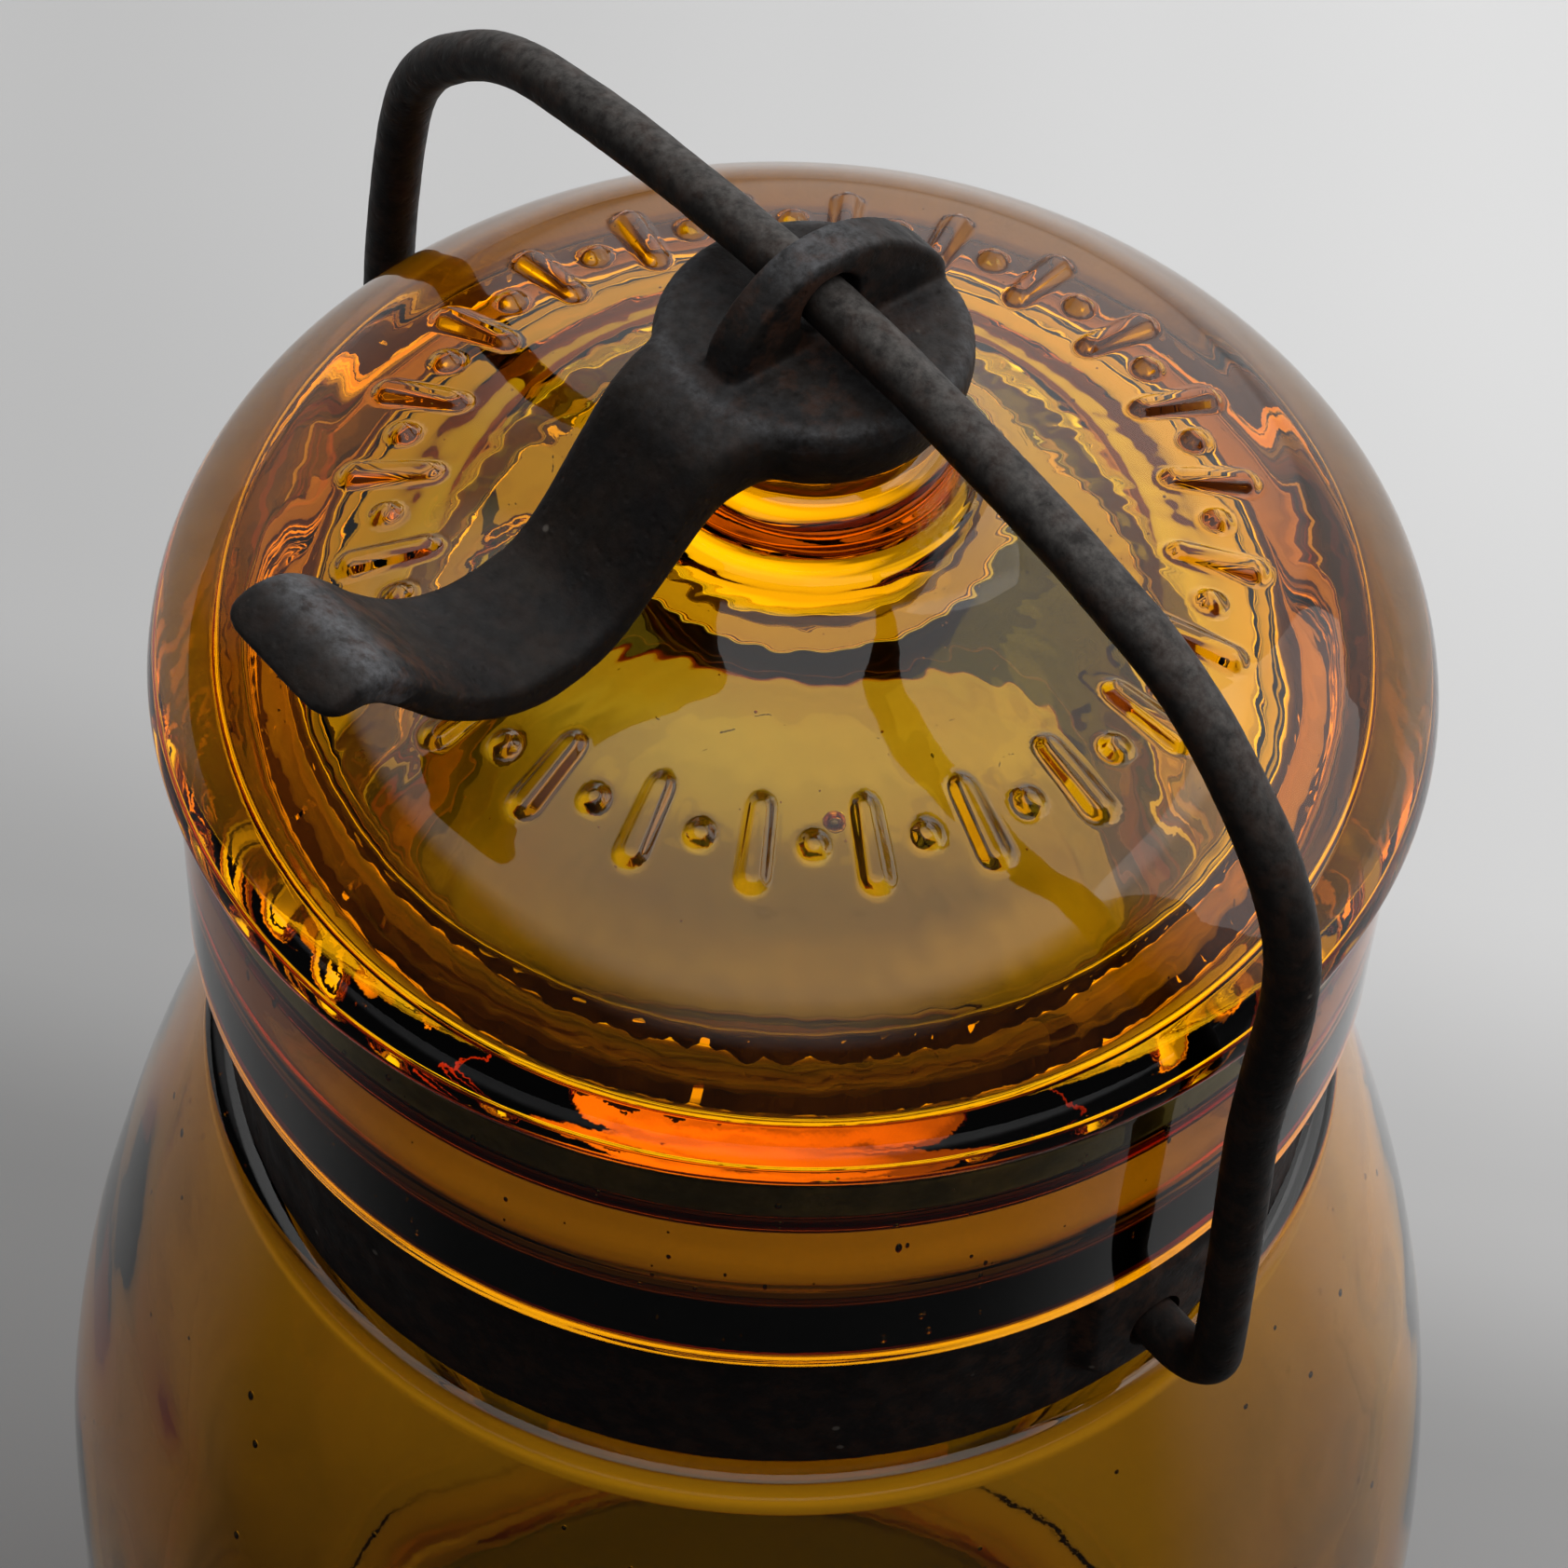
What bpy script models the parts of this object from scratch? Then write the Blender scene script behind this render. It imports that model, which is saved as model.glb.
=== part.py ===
"""Antique fruit jar: a turned glass jar with a glass lid, a rubber ring, an iron neck band,
a wire bail and a cast cam lever that clamps the lid.

Metres, +Z up. The jar stands on z = 0 with its own axis on Z. The bail turns about an axis along X
through the two ears of the band, and the lever's handle points to -Y.
Sizes below are millimetres. Heights are above the base.
"""

import math

import bmesh
import bpy
from mathutils import Matrix, Vector

MM = 0.001
TURNS = 64

# Clearances
SEAT_GAP = 0.3
PIN_GAP = 0.4

# Jar
BODY_R = 50.2
BODY_WALL = 3.6
HEEL_R = 6.0
BEARING_IN_R = 31.0
PUSH_UP = 2.6
PUSH_UP_EASE = 8.0
FLOOR = 4.6
SHOULDER_LOW_Z = 80.9
SHOULDER_TOP_Z = 136.3
SHOULDER_TOP_R = 37.4
NECK_R = 34.5
MOUTH_R = 32.2
THROAT_R = 30.0
THROAT_Z = 145.5
THROAT_TOP_Z = 155.0
FINISH_R = 38.15
FINISH_LOW_Z = 150.4
LEDGE_Z = 164.6
LEDGE_ROUND = 1.2
LIP_WALL = 1.15
LIP_IN_R = FINISH_R - LIP_WALL

# Neck band, with an ear at +X and at -X and a riveted lap at +Y
STRAP = 1.5
BAND_HEIGHT = 12.7
BAND_LOW_Z = SHOULDER_TOP_Z + SEAT_GAP
BAND_IN_R = NECK_R + SEAT_GAP
BAND_OUT_R = BAND_IN_R + STRAP
EAR_WIDTH = 10.4
EAR_PROUD = 1.5
EAR_FACE = BAND_OUT_R + EAR_PROUD
EAR_RISE = 6.6
EAR_Z = BAND_LOW_Z + EAR_RISE
EAR_LOW_Z = EAR_Z - 3.7
LAP_ANGLE = math.radians(24)
RIVET_R = 1.6
RIVET_HEAD_R = 3.1
RIVET_HEAD = 1.3

# Rubber ring, which lies on the ledge inside the lip
RING_OUT_R = LIP_IN_R - SEAT_GAP
RING_IN_R = MOUTH_R + 0.5
RING_LOW_Z = LEDGE_Z + SEAT_GAP
RING_HEIGHT = 4.6

# Lid. The outline is (radius, height above the underside), from the crown of the boss to the rim.
# The underside lies on the ring, inside the lip, and the rim reaches over the lip one step higher.
LID_LOW_Z = RING_LOW_Z + RING_HEIGHT + SEAT_GAP
LID_R = 39.5
RIM_STEP = 2.0
SEAT_R = LIP_IN_R - 0.5
LIP_Z = LID_LOW_Z + RIM_STEP - SEAT_GAP
LID_OUTLINE = [
    (0.0, 26.5), (4.0, 26.35), (7.0, 25.9), (8.4, 25.2), (9.0, 23.9), (9.2, 22.2), (9.5, 20.6),
    (10.3, 19.0), (11.6, 17.9), (13.3, 17.1), (17.0, 16.25), (22.0, 15.4), (25.0, 14.8), (28.0, 14.1),
    (29.8, 13.5), (31.2, 12.75), (32.6, 11.75), (34.0, 10.6), (35.5, 9.3), (37.0, 7.8), (38.2, 6.3),
    (39.0, 4.8), (LID_R - 0.1, 3.5), (LID_R, 2.7), (LID_R - 0.4, RIM_STEP),
]
SKIRT_OUT_R = MOUTH_R - 0.7
SKIRT_IN_R = 28.2
SKIRT_DEPTH = 5.0
HOLLOW = [(28.0, 2.6), (27.8, 5.2), (26.8, 7.6), (24.5, 9.4), (18.5, 10.9), (10.0, 12.0), (0.0, 12.4)]
BOSS_Z = LID_LOW_Z + LID_OUTLINE[0][1]

# Ring of plain raised ornament on the lid: a radial bar and a round bead by turns
RELIEF_COUNT = 24
RELIEF_R = 24.7
RELIEF_SLOPE = math.radians(-12)
RELIEF_ABOVE = 14.74
BAR_LENGTH = 6.4
BAR_WIDTH = 1.8
RELIEF_HEIGHT = 1.1
BEAD_R = 1.1

# Wire bail. The outline is (distance along X, height above the ear axis) of the wire's centre line.
# The arch leans to +X, by BAIL_LEAN from the height LEAN_HIGH up, and not at all under LEAN_LOW.
WIRE_R = 1.65
BAIL_TOP = 60.8
BAIL_LEG_X = 43.0
BAIL_OUTLINE = [
    (0.0, BAIL_TOP), (6.0, 60.62), (12.0, 60.1), (18.9, 59.3), (24.0, 58.4), (28.6, 57.3), (32.3, 55.5),
    (35.8, 52.7), (38.3, 50.1), (40.2, 47.1), (41.3, 44.0), (41.9, 40.1), (42.2, 35.3), (42.4, 27.0),
    (42.7, 18.0), (42.9, 10.0),
]
BAIL_LEAN = 1.6
LEAN_LOW = 24.0
LEAN_HIGH = 46.0
HOOK_R = 3.5
STUB_IN = NECK_R + 0.6
LEVER_Z = EAR_Z + BAIL_TOP

# Cam lever, with heights measured from the wire's centre line down, and Y away from the handle
CAM_R = LEVER_Z - (BOSS_Z + SEAT_GAP)
CAM_ANGLE = math.radians(35)
DISC_R = 9.3
DISC_TOP = -2.6
FIN_THICKNESS = 2.5
FIN_OUTLINE = [
    (7.3, -3.4), (8.9, -2.7), (8.3, -1.4), (7.2, 0.0), (5.8, 1.4), (4.0, 2.6), (2.1, 3.35), (0.2, 3.7),
    (-1.7, 3.5), (-3.3, 2.75), (-4.9, 1.6), (-6.2, 0.1), (-7.1, -1.7), (-7.6, -3.4),
]
HANDLE_WIDTH = 9.2
HANDLE_FLARE = 1.1
FLARE_Y = -27.0
HANDLE_TIP_Y = -38.0
HANDLE_TOP = [
    (-4.5, -3.0), (-8.2, -2.4), (-9.9, -2.6), (-11.5, -3.5), (-13.2, -5.7), (-14.8, -8.2), (-16.5, -10.8),
    (-18.4, -12.4), (-21.0, -13.0), (-23.5, -12.9), (-26.0, -12.0), (-27.9, -10.6), (-29.5, -9.0),
    (-31.0, -7.1), (-32.5, -5.4), (-34.0, -4.5), (-35.6, -4.4), (-37.0, -4.9), (HANDLE_TIP_Y, -5.6),
]
HANDLE_BOTTOM = [
    (-37.7, -6.2), (-36.5, -6.6), (-35.0, -6.9), (-34.0, -7.6), (-31.9, -10.0), (-30.4, -11.8),
    (-28.5, -13.5), (-26.6, -14.8), (-23.9, -16.0), (-21.6, -16.2), (-18.3, -15.3), (-15.0, -12.7),
    (-13.4, -11.1), (-11.7, -9.4), (-10.1, -7.9), (-8.3, -7.2), (-4.5, -6.6),
]


def clear_scene():
    for obj in list(bpy.data.objects):
        bpy.data.objects.remove(obj, do_unlink=True)


def new_collection(name, hidden=False):
    made = bpy.data.collections.new(name)
    made.hide_render = hidden
    bpy.context.scene.collection.children.link(made)
    return made


def material(name, colour, roughness, metallic=0.0, transmission=0.0, ior=1.5):
    made = bpy.data.materials.new(name)
    made.use_nodes = True
    shader = made.node_tree.nodes["Principled BSDF"]
    shader.inputs["Base Color"].default_value = (*colour, 1.0)
    shader.inputs["Roughness"].default_value = roughness
    shader.inputs["Metallic"].default_value = metallic
    shader.inputs["Transmission Weight"].default_value = transmission
    shader.inputs["IOR"].default_value = ior
    made.diffuse_color = (*colour, 1.0)
    return made


def arc(centre, radius, start, end, count):
    """Points on a circle from the start angle to the end angle, in degrees."""
    points = []
    for step in range(count + 1):
        angle = math.radians(start + (end - start) * step / count)
        points.append((centre[0] + radius * math.cos(angle), centre[1] + radius * math.sin(angle)))
    return points


def mesh_object(name, mesh, collection, surface=None):
    obj = bpy.data.objects.new(name, mesh)
    collection.objects.link(obj)
    if surface:
        mesh.materials.append(surface)
    return obj


def turned(name, profile, collection, surface=None, closed=False, z=0.0):
    """A profile of (radius, height) in millimetres, turned about Z by a Screw modifier."""
    mesh = bpy.data.meshes.new(name)
    edges = [(i, i + 1) for i in range(len(profile) - 1)]
    if closed:
        edges.append((len(profile) - 1, 0))
    mesh.from_pydata([(r * MM, 0.0, h * MM) for r, h in profile], edges, [])
    obj = mesh_object(name, mesh, collection, surface)
    obj.location.z = z * MM
    screw = obj.modifiers.new("Turn", "SCREW")
    screw.steps = TURNS
    screw.render_steps = TURNS
    screw.use_merge_vertices = True
    screw.merge_threshold = 0.00001
    screw.use_smooth_shade = True
    return obj


def outline_solid(name, outlines, thickness, rounding, collection):
    """Outlines in the YZ plane, in millimetres, given a thickness along X and rounded edges, as a mesh."""
    curve = bpy.data.curves.new(name + "_outline", "CURVE")
    curve.dimensions = "2D"
    curve.fill_mode = "BOTH"
    curve.extrude = (thickness / 2 - rounding) * MM
    curve.bevel_depth = rounding * MM
    curve.bevel_resolution = 1
    curve.offset = -rounding * MM
    for points in outlines:
        spline = curve.splines.new("POLY")
        spline.points.add(len(points) - 1)
        for point, (y, z) in zip(spline.points, points):
            point.co = (y * MM, z * MM, 0.0, 1.0)
        spline.use_cyclic_u = True
    flat = bpy.data.objects.new(name + "_outline", curve)
    mesh = bpy.data.meshes.new_from_object(flat)
    bpy.data.objects.remove(flat)
    bpy.data.curves.remove(curve)
    shape = bmesh.new()
    shape.from_mesh(mesh)
    bmesh.ops.remove_doubles(shape, verts=shape.verts, dist=0.000005)
    stand = Matrix(((0, 0, 1, 0), (1, 0, 0, 0), (0, 1, 0, 0), (0, 0, 0, 1)))
    bmesh.ops.transform(shape, matrix=stand, verts=shape.verts)
    bmesh.ops.recalc_face_normals(shape, faces=shape.faces)
    shape.to_mesh(mesh)
    shape.free()
    return mesh_object(name, mesh, collection)


def combine(obj, other, operation):
    step = obj.modifiers.new(operation.title() + " " + other.name, "BOOLEAN")
    step.operation = operation
    step.solver = "EXACT"
    step.object = other
    other.display_type = "WIRE"
    other.hide_render = True


def box(name, low, high, collection, rounding=0.0):
    """A box between two corners in millimetres."""
    size = Vector(high) - Vector(low)
    middle = (Vector(high) + Vector(low)) / 2
    shape = bmesh.new()
    place = Matrix.Translation(middle * MM) @ Matrix.Diagonal((*(size * MM), 1.0))
    bmesh.ops.create_cube(shape, size=1.0, matrix=place)
    mesh = bpy.data.meshes.new(name)
    shape.to_mesh(mesh)
    shape.free()
    obj = mesh_object(name, mesh, collection)
    if rounding:
        bevel = obj.modifiers.new("Rounded edges", "BEVEL")
        bevel.width = rounding * MM
        bevel.segments = 2
    return obj


def pin(name, radius, low, high, axis, collection):
    """A cylinder between two points in millimetres along the X or Y axis."""
    shape = bmesh.new()
    low, high = Vector(low) * MM, Vector(high) * MM
    aim = Matrix.Rotation(math.radians(90), 4, "Y" if axis == "X" else "X")
    bmesh.ops.create_cone(
        shape, cap_ends=True, segments=24, radius1=radius * MM, radius2=radius * MM,
        depth=(high - low).length, matrix=Matrix.Translation((low + high) / 2) @ aim)
    mesh = bpy.data.meshes.new(name)
    shape.to_mesh(mesh)
    shape.free()
    return mesh_object(name, mesh, collection)


def smooth(obj, degrees=35):
    """Smooth shading with sharp edges over the angle, on the mesh as modified."""
    for face in obj.data.polygons:
        face.use_smooth = True
    if obj.data.polygons:
        obj.data.set_sharp_from_angle(angle=math.radians(degrees))


def shoulder_radius(z):
    """Outer radius of the shoulder, which eases out from the neck to the full body."""
    share = (SHOULDER_TOP_Z - z) / (SHOULDER_TOP_Z - SHOULDER_LOW_Z)
    return SHOULDER_TOP_R + (BODY_R - SHOULDER_TOP_R) * math.sin(math.pi / 2 * share)


def make_jar(collection, surface):
    span = SHOULDER_TOP_Z - SHOULDER_LOW_Z
    inner_r = BODY_R - BODY_WALL
    neck_wall_z = SHOULDER_TOP_Z - 2.0
    profile = [(0.0, PUSH_UP + FLOOR), (BEARING_IN_R - PUSH_UP_EASE, PUSH_UP + FLOOR - 0.8)]
    profile += arc((inner_r - HEEL_R, FLOOR + HEEL_R), HEEL_R, -90, 0, 3)
    for share in (0.0, 0.25, 0.5, 0.7, 0.85):
        z = SHOULDER_LOW_Z + span * share
        profile.append((shoulder_radius(z) - BODY_WALL, z - BODY_WALL * 0.35 * share))
    profile += [(THROAT_R + 1.8, neck_wall_z - 2.2), (THROAT_R + 0.3, neck_wall_z + 3.0), (THROAT_R, THROAT_Z)]
    profile += [(MOUTH_R, THROAT_TOP_Z), (MOUTH_R, LEDGE_Z - LEDGE_ROUND)]
    profile += arc((MOUTH_R + LEDGE_ROUND, LEDGE_Z - LEDGE_ROUND), LEDGE_ROUND, 150, 90, 2)
    profile += [(LIP_IN_R, LEDGE_Z), (LIP_IN_R, LIP_Z - 0.3), (LIP_IN_R + 0.3, LIP_Z)]
    profile += arc((FINISH_R - 0.6, LIP_Z - 0.6), 0.6, 90, 0, 2)
    profile += arc((FINISH_R - 0.9, FINISH_LOW_Z + 0.9), 0.9, 0, -90, 3)
    profile += [(NECK_R + 0.6, FINISH_LOW_Z - 0.1), (NECK_R, FINISH_LOW_Z - 0.8)]
    profile += [(NECK_R, SHOULDER_TOP_Z + 0.3), (NECK_R + 0.5, SHOULDER_TOP_Z)]
    profile.append((SHOULDER_TOP_R - 0.8, SHOULDER_TOP_Z - 0.05))
    for share in (0.99, 0.95, 0.88, 0.78, 0.65, 0.5, 0.35, 0.2, 0.0):
        z = SHOULDER_LOW_Z + span * share
        profile.append((shoulder_radius(z), z))
    profile += arc((BODY_R - HEEL_R, HEEL_R), HEEL_R, 0, -90, 4)
    profile += [(BEARING_IN_R, 0.0), (BEARING_IN_R - PUSH_UP_EASE, PUSH_UP * 0.7), (0.0, PUSH_UP)]
    return turned("jar_body", profile, collection, surface)


def make_ring(collection, surface):
    corner = 0.7
    low, high = RING_LOW_Z, RING_LOW_Z + RING_HEIGHT
    profile = [(RING_IN_R, high - 0.4), (RING_IN_R + 0.4, high), (RING_OUT_R - corner, high)]
    profile += [(RING_OUT_R, high - corner), (RING_OUT_R, low + corner), (RING_OUT_R - corner, low)]
    profile += [(RING_IN_R + 0.4, low), (RING_IN_R, low + 0.4)]
    return turned("sealing_ring", profile, collection, surface, closed=True)


def make_relief(collection):
    """The bars and beads, each half sunk in the lid's slope."""
    shape = bmesh.new()
    for step in range(2 * RELIEF_COUNT):
        around = Matrix.Rotation(math.pi * step / RELIEF_COUNT, 4, "Z")
        out = Matrix.Translation(Vector((RELIEF_R, 0.0, RELIEF_ABOVE)) * MM)
        lean = Matrix.Rotation(-RELIEF_SLOPE, 4, "Y")
        if step % 2:
            size = (BEAD_R, BEAD_R, RELIEF_HEIGHT)
        else:
            size = (BAR_LENGTH / 2, BAR_WIDTH / 2, RELIEF_HEIGHT)
        grow = Matrix.Diagonal((*(Vector(size) * MM), 1.0))
        bmesh.ops.create_uvsphere(
            shape, u_segments=10, v_segments=6, radius=1.0, matrix=around @ out @ lean @ grow)
    mesh = bpy.data.meshes.new("lid_relief")
    shape.to_mesh(mesh)
    shape.free()
    obj = mesh_object("lid_relief", mesh, collection)
    obj.location.z = LID_LOW_Z * MM
    return obj


def make_lid(collection, helpers, surface):
    profile = list(LID_OUTLINE)
    profile += [(SEAT_R + 0.3, RIM_STEP), (SEAT_R, RIM_STEP - 0.3), (SEAT_R, 0.3), (SEAT_R - 0.3, 0.0)]
    profile += [(SKIRT_OUT_R + 0.4, 0.0), (SKIRT_OUT_R, -0.4), (SKIRT_OUT_R - 0.2, -SKIRT_DEPTH + 0.4)]
    profile += [(SKIRT_OUT_R - 0.6, -SKIRT_DEPTH), (SKIRT_IN_R, -SKIRT_DEPTH)]
    profile += HOLLOW
    lid = turned("glass_lid", profile, collection, surface, z=LID_LOW_Z)
    combine(lid, make_relief(helpers), "UNION")
    return lid


def make_band(collection, helpers, surface):
    high = BAND_LOW_Z + BAND_HEIGHT
    profile = [(BAND_IN_R, high), (BAND_OUT_R - 0.35, high), (BAND_OUT_R, high - 0.35)]
    profile += [(BAND_OUT_R, BAND_LOW_Z + 0.35), (BAND_OUT_R - 0.35, BAND_LOW_Z), (BAND_IN_R, BAND_LOW_Z)]
    band = turned("neck_band", profile, collection, surface, closed=True)
    for side, sign in (("right", 1), ("left", -1)):
        near, far = BAND_IN_R + 0.7, EAR_FACE
        ends = sorted((sign * near, sign * far))
        low = (ends[0], -EAR_WIDTH / 2, EAR_LOW_Z)
        ear = box("ear_" + side, low, (ends[1], EAR_WIDTH / 2, high - 0.05), helpers, rounding=0.6)
        combine(band, ear, "UNION")
        ends = sorted((sign * (BAND_IN_R - 2), sign * (EAR_FACE + 2)))
        hole = pin("ear_hole_" + side, WIRE_R + PIN_GAP, (ends[0], 0, EAR_Z), (ends[1], 0, EAR_Z), "X", helpers)
        combine(band, hole, "DIFFERENCE")
    mesh = bpy.data.meshes.new("band_lap")
    line = [((BAND_OUT_R - 0.4) * MM, 0.0, z * MM) for z in (high - 0.1, BAND_LOW_Z + 0.1)]
    mesh.from_pydata(line, [(0, 1)], [])
    lap = mesh_object("band_lap", mesh, helpers)
    lap.rotation_euler.z = math.pi / 2 - LAP_ANGLE / 2
    screw = lap.modifiers.new("Turn", "SCREW")
    screw.angle = LAP_ANGLE
    screw.steps = 10
    screw.render_steps = 10
    shell = lap.modifiers.new("Thickness", "SOLIDIFY")
    shell.thickness = (STRAP + 0.4) * MM
    shell.offset = 1.0
    combine(band, lap, "UNION")
    rivet_z = BAND_LOW_Z + BAND_HEIGHT / 2
    hole = pin("rivet_hole", RIVET_R + 0.3, (0, BAND_IN_R - 2, rivet_z), (0, BAND_OUT_R + 4, rivet_z), "Y", helpers)
    combine(band, hole, "DIFFERENCE")
    return band


def make_rivet(collection, surface):
    """A shank through the lap with a round head outside. Its own Z axis points out along +Y."""
    face = BAND_OUT_R + STRAP + SEAT_GAP
    profile = [(0.0, face + RIVET_HEAD), (1.2, face + RIVET_HEAD * 0.92), (2.2, face + RIVET_HEAD * 0.66)]
    profile += [(RIVET_HEAD_R - 0.2, face + RIVET_HEAD * 0.25), (RIVET_HEAD_R, face), (RIVET_R, face)]
    profile += [(RIVET_R, BAND_IN_R + 0.4), (RIVET_R - 0.3, BAND_IN_R + 0.1), (0.0, BAND_IN_R + 0.1)]
    rivet = turned("band_rivet", profile, collection, surface, z=BAND_LOW_Z + BAND_HEIGHT / 2)
    rivet.rotation_euler.x = math.radians(-90)
    rivet.modifiers["Turn"].steps = 20
    rivet.modifiers["Turn"].render_steps = 20
    return rivet


def lean(height):
    """How far the bail's wire stands over to +X at a height above the ear axis."""
    share = min(max((height - LEAN_LOW) / (LEAN_HIGH - LEAN_LOW), 0.0), 1.0)
    return BAIL_LEAN * share * share * (3 - 2 * share)


def make_bail(collection, surface):
    """One wire: an arch over the lid whose legs hook in through the ears. Its origin is on the ear axis."""
    side = list(BAIL_OUTLINE)
    side += arc((BAIL_LEG_X - HOOK_R, HOOK_R), HOOK_R, 0, -90, 5)
    side.append((STUB_IN, 0.0))
    path = [(lean(z) - x, z) for x, z in reversed(side)] + [(lean(z) + x, z) for x, z in side[1:]]
    curve = bpy.data.curves.new("bail_wire", "CURVE")
    curve.dimensions = "3D"
    curve.bevel_depth = WIRE_R * MM
    curve.bevel_resolution = 2
    curve.use_fill_caps = True
    spline = curve.splines.new("POLY")
    spline.points.add(len(path) - 1)
    for point, (x, z) in zip(spline.points, path):
        point.co = (x * MM, 0.0, z * MM, 1.0)
    spline.use_smooth = True
    curve.materials.append(surface)
    bail = bpy.data.objects.new("wire_bail", curve)
    collection.objects.link(bail)
    bail.location.z = EAR_Z * MM
    return bail


def make_lever(collection, helpers, surface):
    """One casting: the clamping disc, the fin that the wire runs through and the curved handle."""
    low = -CAM_R
    profile = [(0.0, DISC_TOP), (DISC_R - 0.8, DISC_TOP), (DISC_R - 0.2, DISC_TOP - 0.5), (DISC_R, DISC_TOP - 1.6)]
    profile += [(DISC_R - 0.2, low + 1.8), (DISC_R - 0.7, low + 0.7), (DISC_R - 1.5, low + 0.15)]
    profile += [(DISC_R - 2.5, low), (0.0, low)]
    lever = turned("cam_lever", profile, collection, surface, z=LEVER_Z)
    lever.modifiers["Turn"].steps = 40
    lever.modifiers["Turn"].render_steps = 40

    cam = arc((0.0, 0.0), CAM_R, -90, -90 + math.degrees(CAM_ANGLE), 5)
    reach = DISC_R + 4 - cam[-1][0]
    cam.append((DISC_R + 4, cam[-1][1] + reach * math.tan(CAM_ANGLE)))
    cam += [(DISC_R + 4, low - 4), (0.0, low - 4)]
    relief = outline_solid("cam_relief", [cam], 2 * DISC_R + 6, 0.0, helpers)

    handle = outline_solid("handle", [HANDLE_TOP + HANDLE_BOTTOM], HANDLE_WIDTH, 0.6, helpers)
    for vertex in handle.data.vertices:
        past = (FLARE_Y - vertex.co.y / MM) / (FLARE_Y - HANDLE_TIP_Y)
        vertex.co.x *= 1 + (HANDLE_FLARE - 1) * max(0.0, past)

    eye = arc((0.0, 0.0), WIRE_R + PIN_GAP, 0, 345, 23)
    fin = outline_solid("fin", [FIN_OUTLINE, eye], FIN_THICKNESS, 0.35, helpers)

    for helper in (relief, handle, fin):
        helper.location.z = LEVER_Z * MM
    combine(lever, relief, "DIFFERENCE")
    combine(lever, handle, "UNION")
    combine(lever, fin, "UNION")
    return lever


def main():
    clear_scene()
    jar = new_collection("fruit_jar")
    helpers = new_collection("cutters", hidden=True)

    glass = material("amber_glass", (0.50, 0.24, 0.02), 0.05, transmission=1.0, ior=1.52)
    lid_glass = material("amber_lid_glass", (0.60, 0.33, 0.04), 0.05, transmission=1.0, ior=1.52)
    rubber = material("tan_rubber", (0.30, 0.235, 0.15), 0.75)
    strap_iron = material("band_iron", (0.060, 0.050, 0.045), 0.62, metallic=0.8)
    rivet_iron = material("rivet_iron", (0.070, 0.058, 0.050), 0.6, metallic=0.8)
    wire_iron = material("wire_iron", (0.085, 0.078, 0.074), 0.5, metallic=0.85)
    cast_iron = material("cast_iron", (0.055, 0.047, 0.043), 0.6, metallic=0.8)

    body = make_jar(jar, glass)
    ring = make_ring(jar, rubber)
    band = make_band(jar, helpers, strap_iron)
    rivet = make_rivet(jar, rivet_iron)
    lid = make_lid(jar, helpers, lid_glass)
    bail = make_bail(jar, wire_iron)
    lever = make_lever(jar, helpers, cast_iron)

    bpy.context.view_layer.update()
    for child in (ring, band, rivet, lid, bail):
        child.parent = body
        child.matrix_parent_inverse = body.matrix_world.inverted()
    lever.parent = bail
    lever.matrix_parent_inverse = bail.matrix_world.inverted()
    for obj in jar.objects:
        if obj.type == "MESH":
            smooth(obj)


main()
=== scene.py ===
"""The look of the antique fruit jar: amber glass, tan rubber and dark iron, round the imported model.

Shapes are written in millimetres, heights above the base, and turned to metres when a mesh is made.
"""

import math

import bmesh
import bpy
import numpy as np
from mathutils import Matrix, Vector, noise


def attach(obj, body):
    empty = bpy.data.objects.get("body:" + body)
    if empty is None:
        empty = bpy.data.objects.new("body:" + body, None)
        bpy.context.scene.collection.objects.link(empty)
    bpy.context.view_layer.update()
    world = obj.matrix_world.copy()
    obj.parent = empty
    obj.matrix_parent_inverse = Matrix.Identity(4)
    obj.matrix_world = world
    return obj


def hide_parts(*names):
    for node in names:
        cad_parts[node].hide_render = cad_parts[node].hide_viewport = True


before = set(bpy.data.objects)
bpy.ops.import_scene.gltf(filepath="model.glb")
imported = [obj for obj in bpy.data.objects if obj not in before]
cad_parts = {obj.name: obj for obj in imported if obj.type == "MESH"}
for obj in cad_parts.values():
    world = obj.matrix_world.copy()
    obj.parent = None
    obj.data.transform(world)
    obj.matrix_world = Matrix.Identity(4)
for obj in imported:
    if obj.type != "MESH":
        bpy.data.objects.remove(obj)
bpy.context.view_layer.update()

MM = 0.001
TURN = 2 * math.pi

# Heights and radii shared with the CAD solids
LID_LOW = 169.8
EAR_Z = 143.2
WIRE_Z = 204.0
WIRE_R = 1.65
EYE_R = WIRE_R + 0.4
BAND_LOW = 136.6
BAND_HIGH = 149.3
BAND_IN = 34.8
BAND_OUT = 36.3
SHOULDER_TOP_Z = 136.3
SHOULDER_DROP = 55.4
BODY_TOP_Z = 80.9
NECK_R = 37.4
SHOULDER_SWELL = 12.8
BODY_R = 50.2

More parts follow.
